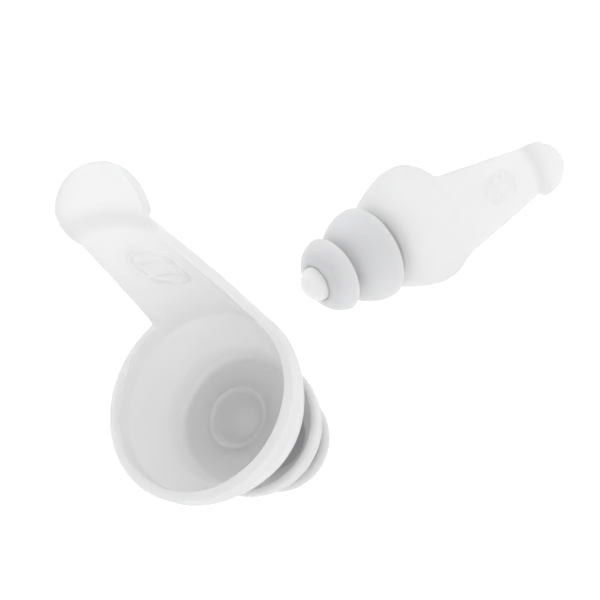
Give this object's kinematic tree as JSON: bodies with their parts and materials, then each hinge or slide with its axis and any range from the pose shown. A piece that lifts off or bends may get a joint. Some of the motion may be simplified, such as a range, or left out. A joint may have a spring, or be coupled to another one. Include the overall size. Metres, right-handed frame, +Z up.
{
  "type": "flanged ear plugs",
  "caption": "Pair of reusable translucent silicone ear plugs, each a bell-shaped cup on a double-flange ear tip with a swept pull handle, in a floating pose with the noses turned inward.",
  "frame": {"origin": "centre of the left ear tip's rear flange rim, where it seals the ear canal", "axes": "+Z up, +Y the longest extent, from the left plug back towards the right plug, +X to the viewer's right when looking along +Y"},
  "size_m": [0.0438, 0.0519, 0.0282],
  "materials": {
    "shell_silicone": "translucent satin moulded silicone",
    "tip_silicone": "translucent satin soft silicone",
    "core_silicone": "satin firm silicone"
  },
  "bodies": {
    "left_plug": {"left_shell": "shell_silicone"},
    "left_tip": {"left_tip": "tip_silicone"},
    "left_core": {"left_core": "core_silicone"},
    "right_plug": {"right_shell": "shell_silicone"},
    "right_tip": {"right_tip": "tip_silicone"},
    "right_core": {"right_core": "core_silicone"}
  },
  "joints": [
    {"name": "right_plug_lift", "type": "slide", "parent": "left_plug", "child": "right_plug", "axis": [0, 0, 1], "range_m": [0, 0.03]},
    {"name": "left_tip_pull", "type": "slide", "parent": "left_plug", "child": "left_tip", "axis": [0.3981, 0.6851, -0.6101], "range_m": [0, 0.009]},
    {"name": "left_core_pull", "type": "slide", "parent": "left_plug", "child": "left_core", "axis": [0.3981, 0.6851, -0.6101], "range_m": [0, 0.007]},
    {"name": "right_tip_pull", "type": "slide", "parent": "right_plug", "child": "right_tip", "axis": [-0.7597, -0.5881, -0.2776], "range_m": [0, 0.009]},
    {"name": "right_core_pull", "type": "slide", "parent": "right_plug", "child": "right_core", "axis": [-0.7597, -0.5881, -0.2776], "range_m": [0, 0.007]}
  ]
}
